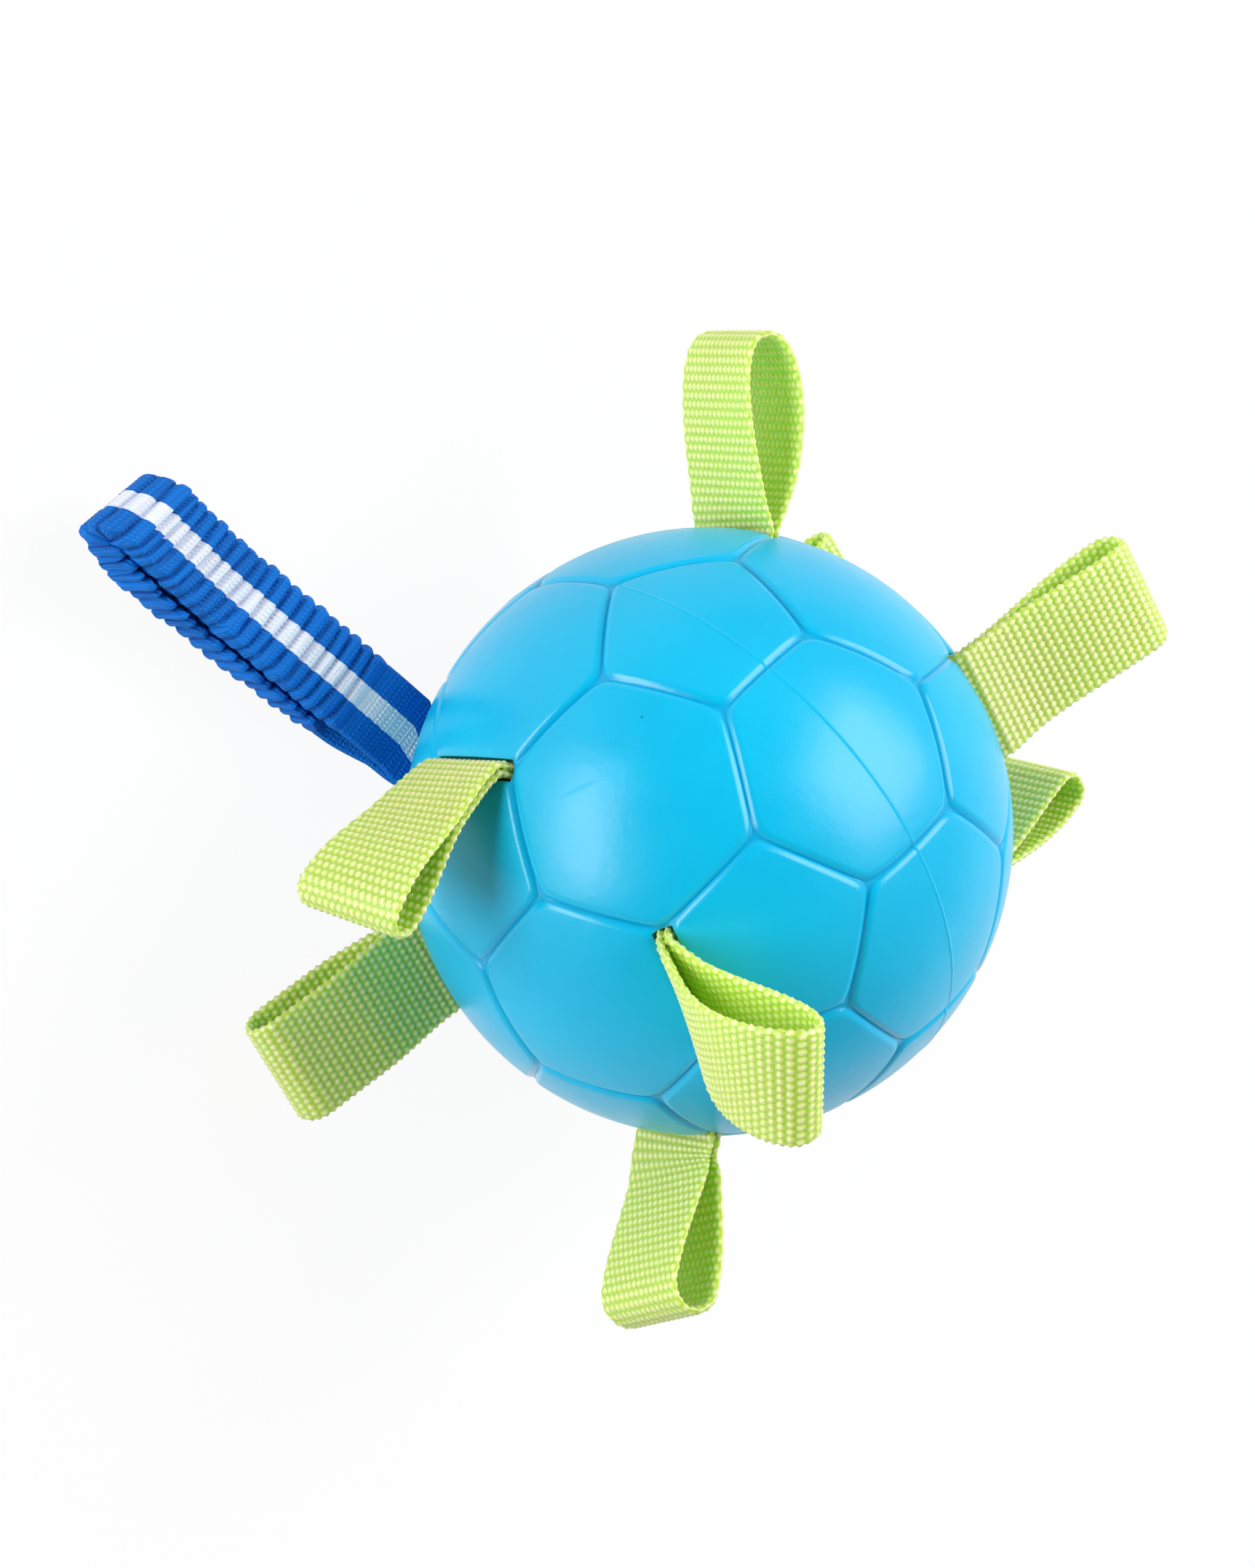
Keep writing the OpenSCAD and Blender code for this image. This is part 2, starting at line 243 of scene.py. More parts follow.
def webbing_material():
    n = Nodes("webbing_green_woven")
    height = n.attribute("height").outputs["Fac"]
    cloth = n.attribute("cloth").outputs["Vector"]
    place = n.place()
    # Painted shade and sheen: valleys are painted darker and pearl tops paler, by the relief's height
    colour = n.mix(n.ramp(height, 0.05, 0.4), WEB_VALLEY_SHADE, WEB_FLANK)
    colour = n.mix(n.ramp(height, 0.4, 0.9), colour, WEB_PEARL_SHEEN)
    patch = n.ramp(n.noise(place, scale=60.0), 0.35, 0.65, to_high=0.22)
    colour = n.mix(patch, colour, WEB_PATCH)
    # Filaments of the yarn, along the strap
    strand = n.add("ShaderNodeMapping", cloth, Scale=(0.9, 9.0, 1.0))
    fibre = n.noise(strand.outputs["Vector"], scale=1.0, detail=2.0)
    colour = n.mix(n.ramp(fibre, 0.4, 0.7, to_high=0.25), colour, WEB_FIBRE)
    rough = n.ramp(fibre, 0.3, 0.7, to_low=0.30, to_high=0.42)
    normal = n.bump(fibre, strength=0.35, distance=0.00012)
    return n.finish(colour, rough, normal, Specular_IOR_Level=1.0, Subsurface_Weight=0.9,
                    Subsurface_Radius=(0.65, 1.0, 0.18), Subsurface_Scale=0.0045)


def handle_material():
    n = Nodes("webbing_blue_gathered")
    height = n.attribute("height").outputs["Fac"]
    cloth = n.attribute("cloth").outputs["Vector"]
    split = n.add("ShaderNodeSeparateXYZ", cloth)
    weave = n.add("ShaderNodeTexWave", cloth, wave_type="BANDS", bands_direction="X",
                  Scale=0.30, Distortion=1.2, Detail=1.0)
    warp = n.add("ShaderNodeTexWave", cloth, wave_type="BANDS", bands_direction="Y",
                 Scale=0.28, Distortion=0.6)
    thread = n.math("MULTIPLY", weave.outputs["Fac"], warp.outputs["Fac"])
    # Painted shade: blue and stripe go darker in the gathers' creases and between the weave's bumps
    blue = n.mix(n.ramp(height, 0.0, 0.85), *GATHER_SHADE_BLUES)
    blue = n.mix(n.ramp(thread, 0.1, 0.9, to_high=0.35), blue, THREAD_BLUE)
    white = n.mix(n.ramp(height, 0.0, 0.7), *STRIPE_SHADE_WHITES)
    # Painted light: the stripe is painted brighter where the strap is flat, to lift the shade that falls
    # there
    run = n.math("ABSOLUTE", split.outputs["X"])
    white = n.mix(n.ramp(run, *STRIPE_LIGHT_SPAN), white, STRIPE_FLAT_LIGHT)
    ragged = n.math("MULTIPLY", n.noise(cloth, scale=0.9), 0.7)
    edge = n.math("ADD", n.math("ABSOLUTE", split.outputs["Y"]), ragged)
    colour = n.mix(n.ramp(edge, *STRIPE_EDGE), white, blue)
    rough = n.ramp(thread, 0.0, 1.0, to_low=0.72, to_high=0.60)
    normal = n.bump(thread, strength=0.55, distance=0.0003)
    return n.finish(colour, rough, normal, Specular_IOR_Level=0.2)


def plain_material(name, colours, scale, rough, bump):
    """A small-grained finish for the thread, the elastic and the rods."""
    n = Nodes(name)
    grain = n.noise(n.place(), scale)
    colour = n.mix(n.ramp(grain, 0.3, 0.7), *colours)
    shine = n.ramp(grain, 0.3, 0.7, rough - 0.05, rough + 0.05)
    return n.finish(colour, shine, n.bump(grain, bump, distance=0.0002))


# Meshes

def new_object(name, verts, faces, material, smooth=True):
    mesh = bpy.data.meshes.new(name)
    mesh.from_pydata([tuple(v) for v in verts], [], faces)
    mesh.validate()
    mesh.update()
    if smooth:
        mesh.shade_smooth()
    obj = in_scene(name, mesh)
    mesh.materials.append(material)
    return obj


def in_scene(name, data):
    obj = bpy.data.objects.new(name, data)
    bpy.context.scene.collection.objects.link(obj)
    return obj


def give(obj, name, kind, values):
    """Stores one value or vector per point of the mesh, for its material."""
    attribute = obj.data.attributes.new(name, kind, "POINT")
    key = "vector" if kind == "FLOAT_VECTOR" else "value"
    attribute.data.foreach_set(key, np.asarray(values, np.float32).ravel())


# Ball

SLOTS = [(unit(row[0]), unit(row[1])) for row in LOOPS.values()]
SLOTS.append((unit(HANDLE_SLOT), unit(HANDLE_ACROSS)))
# Rings of each panel's mesh, as distances in from its seams
RINGS = [0, 0.1, 0.22, 0.35, 0.5, 0.66, 0.83, 1, 1.18, 1.36, 1.55, 1.75, 1.95, 2.15, 2.45, 2.75, 3.1,
         4, 5.2, 6.8, 9, 12, 15.5, 19, 22.5]
LAST_RING = 0.93
EDGE_STEPS = 40
GROOVE_DEPTH = 1.0
GROOVE_HALF = 2.1
CORNER_ROUNDING = 1.1
PILLOW = 0.12
PILLOW_REACH = 6.0
RIM_DIP = 0.45
RIM_REACH = 0.5
NEAR_SLOT = 0.8
SLOT_CUT = 5.0
# The fine raised mould line: its height, its spread and the mesh lines beside the parting plane
RIDGE = 0.16
RIDGE_SPREAD = 0.28
RIDGE_REACH = 1.5
RIDGE_LINES = (-0.7, -0.4, -0.2, 0.2, 0.4, 0.7)
HALF_BOX = (90, 60, 90)
CREASE = 42
# Neighbouring corners of the icosahedron are 2 apart
PEAKS = 12
NEIGHBOUR = 2.1


def panels():
    """Corners of the pentagons and hexagons, in order, as unit directions."""
    peaks = [np.array(p, float) for s in (-1, 1) for t in (-1, 1)
             for p in ((0, s, t * PHI), (s, t * PHI, 0), (t * PHI, 0, s))]
    close = [[j for j in range(PEAKS) if j != i and np.linalg.norm(peaks[i] - peaks[j]) < NEIGHBOUR]
             for i in range(PEAKS)]
    out = []

    def ordered(points):
        middle = unit(sum(points))
        x = unit(points[0] - middle * (points[0] @ middle))
        y = np.cross(middle, x)
        return sorted(points, key=lambda p: math.atan2(p @ y, p @ x))

    for i in range(PEAKS):
        out.append(ordered([unit(2 * peaks[i] + peaks[j]) for j in close[i]]))
        for j in close[i]:
            for k in close[i]:
                if i < j < k and k in close[j]:
                    trio = (peaks[i], peaks[j], peaks[k])
                    out.append(ordered([unit(2 * a + b) for a in trio for b in trio if a is not b]))
    return out


def skin_height(points, edges):
    """How far each point of one panel stands off the sphere, and how deep it lies in a groove."""
    away = np.stack([np.arcsin(np.clip(points @ n, -1, 1)) * BALL_R for n in edges], 1)
    near = -CORNER_ROUNDING * np.log(np.exp(-away / CORNER_ROUNDING).sum(1))
    near = np.maximum(near, 0)
    groove = np.clip(1 - near / GROOVE_HALF, 0, 1) ** 2
    height = -GROOVE_DEPTH * groove - PILLOW * np.exp(-near / PILLOW_REACH)
    for out, along in SLOTS:
        facing = points @ out > NEAR_SLOT
        x = np.abs(points @ np.cross(along, out)) * BALL_R - SLOT_W / 2
        y = np.abs(points @ along) * BALL_R - SLOT_L / 2
        rim = np.hypot(np.maximum(x, 0), np.maximum(y, 0))
        height -= np.where(facing, RIM_DIP * np.exp(-(rim / RIM_REACH) ** 2), 0)
    return height, groove


def ball_surface():
    """The outer skin as rings from each panel's seams to its middle, with the depth in the grooves."""
    verts, faces, hollow = [], [], []
    for corners in panels():
        middle = unit(sum(corners))
        sides = list(zip(corners, corners[1:] + corners[:1]))
        edges = [unit(np.cross(a, b)) for a, b in sides]
        steps = [i / EDGE_STEPS for i in range(EDGE_STEPS)]
        rim = np.array([unit(a * (1 - t) + b * t) for a, b in sides for t in steps])
        reach = math.asin(middle @ edges[0]) * BALL_R
        start = len(verts)
        rings = [t for t in RINGS if t < LAST_RING * reach]
        points = []
        for t in rings:
            f = t / reach
            ring = rim * (1 - f) + middle * f
            points.append(ring / np.linalg.norm(ring, axis=1)[:, None])
        points = np.vstack(points + [middle[None]])
        height, groove = skin_height(points, edges)
        verts.extend(points * (BALL_R + height)[:, None])
        hollow.extend(groove)
        around = len(rim)
        for r in range(len(rings) - 1):
            for i in range(around):
                j = (i + 1) % around
                a = start + r * around
                faces.append((a + i, a + j, a + around + j, a + around + i))
        last = start + (len(rings) - 1) * around
        tip = start + len(rings) * around
        for i in range(around):
            faces.append((last + i, last + (i + 1) % around, tip))
    return np.array(verts), faces, np.array(hollow)


def cut_with(obj, other, operation):
    """Runs one boolean for good."""
    bpy.context.view_layer.objects.active = obj
    step = obj.modifiers.new("cut", "BOOLEAN")
    step.operation = operation
    step.solver = "EXACT"
    step.object = other
    done = bpy.data.meshes.new_from_object(obj.evaluated_get(bpy.context.evaluated_depsgraph_get()))
    obj.modifiers.clear()
    old = obj.data
    obj.data = done
    bpy.data.meshes.remove(old)


def box_cutter(boxes):
    """One mesh of boxes, each given by its matrix and half sizes."""
    bm = bmesh.new()
    for matrix, half in boxes:
        made = bmesh.ops.create_cube(bm, size=2.0)
        scale = Matrix.Diagonal((*[h * MM for h in half], 1))
        bmesh.ops.transform(bm, matrix=matrix @ scale, verts=made["verts"])
    mesh = bpy.data.meshes.new("cutter")
    bm.to_mesh(mesh)
    bm.free()
    return in_scene("cutter", mesh)


def slot_matrix(out, along, r):
    x = np.cross(along, out)
    m = Matrix.Identity(4)
    for i in range(3):
        m[i][0], m[i][1], m[i][2], m[i][3] = x[i], along[i], out[i], out[i] * r * MM
    return m


def whole_skin():
    """Both half shells in one mesh, with the mould line and the inside of the wall."""
    verts, faces, hollow = ball_surface()
    bm = bmesh.new()
    layer = bm.verts.layers.float.new("hollow")
    made = [bm.verts.new(v * MM) for v in verts]
    for v, h in zip(made, hollow):
        v[layer] = h
    for f in faces:
        bm.faces.new([made[i] for i in f])
    bmesh.ops.remove_doubles(bm, verts=bm.verts, dist=1e-6)
    for y in RIDGE_LINES:
        geometry = bm.verts[:] + bm.edges[:] + bm.faces[:]
        bmesh.ops.bisect_plane(bm, geom=geometry, dist=1e-7, plane_co=(0, y * MM, 0), plane_no=(0, 1, 0))
    for v in bm.verts:
        y = abs(v.co.y) / MM
        if y < RIDGE_REACH:
            v.co *= 1 + RIDGE * math.exp(-(y / RIDGE_SPREAD) ** 2) / BALL_R
    inner = bmesh.ops.create_icosphere(bm, subdivisions=5, radius=(BALL_R - WALL) * MM)
    bmesh.ops.reverse_faces(bm, faces=list({f for v in inner["verts"] for f in v.link_faces}))
    whole = bpy.data.meshes.new("skin")
    bm.to_mesh(whole)
    bm.free()
    return whole


def ball_pieces(material):
    whole = whole_skin()
    slot_half = (SLOT_W / 2, SLOT_L / 2, SLOT_CUT)
    slot_tool = box_cutter([(slot_matrix(out, along, BALL_R - WALL / 2), slot_half) for out, along in SLOTS])
    pieces = []
    for name, side in (("ball_skin_front", -1), ("ball_skin_rear", 1)):
        obj = in_scene(name, whole.copy())
        keep = box_cutter([(Matrix.Translation((0, side * HALF_BOX[1] * MM, 0)), HALF_BOX)])
        cut_with(obj, slot_tool, "DIFFERENCE")
        cut_with(obj, keep, "INTERSECT")
        bpy.data.objects.remove(keep)
        obj.data.materials.clear()
        obj.data.materials.append(material)
        obj.data.polygons.foreach_set("material_index", [0] * len(obj.data.polygons))
        obj.data.shade_smooth()
        obj.data.set_sharp_from_angle(angle=math.radians(CREASE))
        pieces.append(obj)
    bpy.data.objects.remove(slot_tool)
    return pieces


# Straps

SLEW_EASE = 12
ROD_ROOM = 0.1
PLY_GAP = 0.03
TAIL_TOP = 1.5
TAIL_STEPS = 160
LINE_STEPS = 500
LINE_STEP = 0.1
LINE_BLUR = 17
LINE_BLURS = 2
EDGE_CLOTH = 0.3
# A distance below a strap's hinge; the point that place_handle takes from it is not used
BLEND_BELOW = 3.0


class Strap:
    """A strap's own frame: where it leaves the ball and how its flat line is laid in space."""

    def __init__(self, place, across, lie, shear=0.0):
        self.out = unit(place)
        self.wide = unit(across)
        self.side = np.cross(self.wide, self.out)
        self.lean, self.curl, self.length, self.gap, self.twist, self.slew = lie
        self.shear = shear
        lean = math.radians(self.lean)
        self.chord = math.sin(lean) * self.side + math.cos(lean) * self.out
        self.thin = math.cos(lean) * self.side - math.sin(lean) * self.out

    def angle(self, u):
        return np.radians(self.lean + self.curl * (np.asarray(u) - 0.5))

    def middle(self, u):
        """Points of the middle line, across the slot and out from its lip."""
        first, here = self.angle(0), self.angle(u)
        radius = self.length / math.radians(self.curl)
        return radius * np.stack([math.cos(first) - np.cos(here), np.sin(here) - math.sin(first)], -1)

    def lay(self, flat, off, u):
        """Points in space from flat ones (across the slot, out from the ball's centre) and a place across."""
        rel = flat[..., :1] * self.side + (flat[..., 1:] - LIP_R) * self.out
        l, h = rel @ self.chord + self.shear * off * u ** 2, rel @ self.thin
        turn = math.radians(self.twist) * u
        h, off = h * np.cos(turn) - off * np.sin(turn), h * np.sin(turn) + off * np.cos(turn)
        s = math.radians(self.slew)
        ease = smoothstep(l / SLEW_EASE)
        along = l * (1 - ease) + (l * math.cos(s) - off * math.sin(s)) * ease
        wide = off * (1 - ease) + (l * math.sin(s) + off * math.cos(s)) * ease
        parts = along[..., None] * self.chord + h[..., None] * self.thin + wide[..., None] * self.wide
        return LIP_R * self.out + parts

    def hinge(self):
        return HINGE_R * self.out

    def start_way(self):
        a = float(self.angle(0))
        return math.sin(a) * self.side + math.cos(a) * self.out


def tail_line(thick):
    """One ply inside the ball: sewn tail, round the rod and up to the slot."""
    y = np.linspace(TAIL_END, LIP_R - TAIL_TOP, TAIL_STEPS)
    round_rod = np.sqrt(np.maximum((ROD_R + ROD_ROOM + thick / 2) ** 2 - (y - ROD_AT) ** 2, 0))
    return np.stack([np.maximum(round_rod, thick / 2 + PLY_GAP), y], 1)


def smooth_line(line, width):
    for _ in range(LINE_BLURS):
        kernel = np.ones(width) / width
        ends = np.repeat(line[:1], width // 2, 0), np.repeat(line[-1:], width // 2, 0)
        padded = np.vstack([ends[0], line, ends[1]])
        line = np.stack([np.convolve(padded[:, k], kernel, "valid") for k in range(line.shape[1])], 1)
    return line


def run_of(line):
    """Length along a line of points, at each of them."""
    return np.concatenate([[0], np.cumsum(np.linalg.norm(np.diff(line, axis=0), axis=1))])


def points_at(line, run, s):
    return np.stack([np.interp(s, run, line[:, k]) for k in range(2)], 1)


def resample(line, u, step):
    """The same line at even steps, with its length so far, its direction and u."""
    run = run_of(line)
    s = np.linspace(0, run[-1], int(round(run[-1] / step)) + 1)
    out = points_at(line, run, s)
    way = np.gradient(out, s, axis=0)
    way /= np.linalg.norm(way, axis=1)[:, None]
    return out, s, way, np.interp(s, run, u)


def closed_line(strap, half, thick):
    """From one sewn tail out through the slot, round the end of the loop and back to the other tail."""
    v = np.linspace(0, 1, LINE_STEPS)
    u = 1 - (1 - v) ** 2
    a = strap.angle(u)
    mid = strap.middle(u) + np.array([0, LIP_R])
    away = half(u, v)[:, None] * np.stack([np.cos(a), -np.sin(a)], 1)
    tail = tail_line(thick)
    left = tail * np.array([-1, 1])
    line = np.vstack([left, mid - away, (mid + away)[-2::-1], tail[::-1]])
    us = np.concatenate([np.zeros(len(tail)), u, u[-2::-1], np.zeros(len(tail))])
    run = run_of(line)
    even = np.arange(0, run[-1], LINE_STEP)
    return smooth_line(points_at(line, run, even), LINE_BLUR), np.interp(even, run, us)


def band(name, strap, line, s, way, u, off, top, bottom, edge, material, shift=0.0):
    """A strap with a top and a bottom face: off, top and bottom are per station and place across.

    A shift moves the strap sideways without moving the pattern on it.
    """
    normal = np.stack([-way[:, 1], way[:, 0]], 1)
    aside = np.zeros_like(s) + shift
    at = off + aside[:, None]
    up = strap.lay(line[:, None] + top[..., None] * normal[:, None], at, u[:, None])
    down = strap.lay(line[:, None] - bottom[..., None] * normal[:, None], at, u[:, None])
    right = strap.lay(line, at[:, -1] + edge, u)[:, None]
    left = strap.lay(line, at[:, 0] - edge, u)[:, None]
    rings = np.concatenate([up, right, down[:, ::-1], left], 1)
    stations, around = rings.shape[:2]
    index = np.arange(stations * around).reshape(stations, around)
    a, b = index[:-1], index[1:]
    quads = np.stack([a, b, np.roll(b, -1, 1), np.roll(a, -1, 1)], -1).reshape(-1, 4)
    faces = [tuple(q) for q in quads.tolist()]
    faces.append(tuple(index[0].tolist()))
    faces.append(tuple(index[-1, ::-1].tolist()))
    obj = new_object(name, rings.reshape(-1, 3) * MM, faces, material)
    wide = np.concatenate([off, off[:, -1:] + EDGE_CLOTH, off[:, ::-1], off[:, :1] - EDGE_CLOTH], 1)
    run = np.repeat(s[:, None], around, 1)
    give(obj, "cloth", "FLOAT_VECTOR", np.stack([run, wide, np.zeros_like(run)], -1))
    return obj


def with_edges(top, edge, bottom):
    return np.concatenate([top, edge[:, None], bottom[:, ::-1], edge[:, None]], 1)


def edge_rounding(across, start, span, least):
    """Thins a strap's thickness from 1 towards its edge, over a span beyond the start."""
    return np.sqrt(np.clip(1 - (np.clip(across - start, 0, 1) / span) ** 2, least, 1))


# Green loops

WEB_W = 28.5
WEB_T = 1.8
WEB_CORE = WEB_T / 2 - 0.40
PEARL_ACROSS = 1.9
PEARL_ALONG = 2.15
PEARL_RELIEF = 0.66
STATIONS_PER_PEARL = 6
PLACES_PER_PEARL = 5
# How far the weave stays up between rows and between pearls, and how flat their tops are
ROW_FLOOR, ROW_RISE, ROW_POWER = 0.25, 0.75, 0.8
PEARL_FLOOR, PEARL_RISE, PEARL_POWER = 0.3, 0.7, 0.7
# How fast a drop-shaped eye closes at the fold
FOLD_CLOSE = 8
EDGE_START, EDGE_SPAN, EDGE_LEAST = 0.7, 0.75, 0.08
# The strap is narrower at its fold and wider at its root, each by a share of its width over a distance
FOLD_PINCH, FOLD_REACH = 0.04, 3.5
ROOT_SPREAD, ROOT_REACH = 0.03, 6
BEAD_LOW, BEAD_HIGH = 0.10, 0.55
BEAD_SHADE = 0.6


def pearls(s, w):
    """Woven relief from 0 to 1: rows of round bumps, each row half a step aside of the last."""
    odd = np.round(s / PEARL_ALONG) % 2
    row = 0.5 + 0.5 * np.cos(2 * math.pi * s / PEARL_ALONG)
    bump = 0.5 + 0.5 * np.cos(2 * math.pi * (w / PEARL_ACROSS + odd / 2))
    rows = (ROW_FLOOR + ROW_RISE * row) ** ROW_POWER
    return rows * (PEARL_FLOOR + PEARL_RISE * bump ** PEARL_POWER)


def loop_piece(key, material):
    place, across, lie, eye = LOOPS[key]
    strap = Strap(place, across, lie)

    def drop(u, v):
        widest = eye[0] / (eye[0] + 0.5)
        scale = widest ** eye[0] * math.sqrt(1 - widest)
        fold = WEB_T / 2 * np.minimum(1, FOLD_CLOSE * (1 - v))
        return fold + strap.gap / 2 * u ** eye[0] * (1 - v) / scale

    def round_end(u, v):
        radius = (strap.gap + WEB_T) / 2
        past = np.clip(u * strap.length - strap.length + radius, 0, radius) / radius
        opening = WEB_T / 2 + strap.gap / 2 * smoothstep((u - eye[0]) / (eye[1] - eye[0]))
        return opening * np.sqrt(1 - past ** 2)

    half = drop if len(eye) == 1 else round_end
    line, u = closed_line(strap, half, WEB_T)
    line, s, way, u = resample(line, u, PEARL_ALONG / STATIONS_PER_PEARL)
    flat = np.arange(-WEB_W / 2, WEB_W / 2 + 0.01, PEARL_ACROSS / PLACES_PER_PEARL)
    flat -= flat.mean()
    tip = s[np.argmax(u)]
    pinch = FOLD_PINCH * np.exp(-((s - tip) / FOLD_REACH) ** 2)
    spread = ROOT_SPREAD * np.exp(-(u * strap.length / ROOT_REACH) ** 2)
    off = flat[None] * (1 - pinch + spread)[:, None]
    rounding = edge_rounding(np.abs(flat), flat[-1] - EDGE_START, EDGE_SPAN, EDGE_LEAST)
    high = pearls(s[:, None], flat[None])
    low = pearls(s[:, None] + PEARL_ALONG, flat[None])
    top = (WEB_CORE + PEARL_RELIEF * high) * rounding
    bottom = (WEB_CORE + PEARL_RELIEF * low) * rounding
    bead = BEAD_LOW + BEAD_HIGH * (0.5 + 0.5 * np.cos(2 * math.pi * s / PEARL_ALONG))
    obj = band("loop_webbing_" + key, strap, line, s, way, u, off, top, bottom, bead, material)
    # The relief's height, with a middle value on the edges, goes to the material, which paints shade in the
    # valleys and sheen on the pearls by it
    give(obj, "height", "FLOAT", with_edges(high, 0 * s + BEAD_SHADE, low))
    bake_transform(obj)
    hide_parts("loop_" + key, "tail_" + key)


# Handle

HANDLE_W = 20.5
HANDLE_T = 1.7
HANDLE_STEP = 0.36
HANDLE_PLACES = 81
# From the handle's middle to each of its layers, and the share of its length over which they part
LAYER = 5.3
PART_FROM, PART_OVER = 0.01, 0.22
LAYER_SHIFT = 3.0
SHIFT_FROM_END, SHIFT_FROM_BALL = 20, 25
GATHER_FROM = 27.0
GATHER_OVER = 9
GATHER_PITCH = 4.3
GATHER_COUNT = 60
GATHER_SEED = 7
PITCH_SPREAD, HEIGHT_SPREAD = 0.20, 0.22
GATHER_SKEW, GATHER_SAG, GATHER_BOW = 0.07, 0.5, 0.8
GATHER_BODY = 0.55
# Round tops and narrow creases
GATHER_CREASE, GATHER_ROUND = 2.4, 0.6
# Gathers rise and sink about the body: outside, between the layers, beside the upper layer and at the edges
OUTER_RISE, OUTER_SINK = 2.2, 0.75
INNER_RISE, INNER_FILL, INNER_ROOM = 1.2, 2.4, 0.2
FLARE_RISE, FLARE_SINK = 4.2, 0.6
FLARE_WIDTH, FLARE_OVER, FLARE_FROM_END = 3.6, 1.6, 12
SIDE_RISE, SIDE_SINK = 1.3, 0.9
END_SLACK, END_REACH = 0.45, 5.0
# The fine weave is a smaller pattern of the loops' pearls
WEAVE_ALONG, WEAVE_ACROSS, WEAVE_RELIEF = 1.45, 1.66, 0.32
WEAVE_LOSS = 0.35
SHADE_FLOOR, SHADE_RISE = 0.58, 0.42
BORDER, BORDER_RISE = 0.25, 0.35
# Where the edges start to thin, over what share of the half width, and how thin they get
SOFT_EDGE = 0.88, 0.125, 0.05
HARD_EDGE = 0.93, 0.075, 0.1
# The sleeve starts here, past the flat part; the two places along the handle only give points that nothing
# uses
SLEEVE_FROM = GATHER_FROM + 2.0
STRETCH_FROM, STRETCH_TO = 34.0, 98.0
HANDLE_BLEND = 10.0
ELASTIC_HALF, ELASTIC_PLACES = 7.5, 17
ELASTIC_T, ELASTIC_RIB, ELASTIC_PITCH, ELASTIC_EDGE = 0.4, 0.08, 1.9, 0.2


def gather_ripple(run, flat):
    """Height of the gathers, about 0 to 1: uneven steps, counted both ways from the end of the loop."""
    draw = np.random.default_rng(GATHER_SEED)
    step = GATHER_PITCH * (1 + PITCH_SPREAD * draw.uniform(-1, 1, GATHER_COUNT))
    marks = np.cumsum(step) - step.sum() / 2
    tall = 1 + HEIGHT_SPREAD * draw.uniform(-1, 1, GATHER_COUNT + 1)
    lean, bow = draw.uniform(-1, 1, (2, GATHER_COUNT))
    skew = GATHER_SKEW * np.interp(run, marks, lean)[:, None] * flat[None]
    sag = (GATHER_SAG + GATHER_BOW * np.interp(run, marks, bow))[:, None] * (flat[None] / 10) ** 2
    place = run[:, None] + skew + sag
    cell = np.clip(np.searchsorted(marks, place), 1, GATHER_COUNT - 1)
    phase = (place - marks[cell - 1]) / (marks[cell] - marks[cell - 1])
    return np.clip(1 - np.abs(2 * phase - 1) ** GATHER_CREASE, 0, 1) ** GATHER_ROUND * tall[cell]


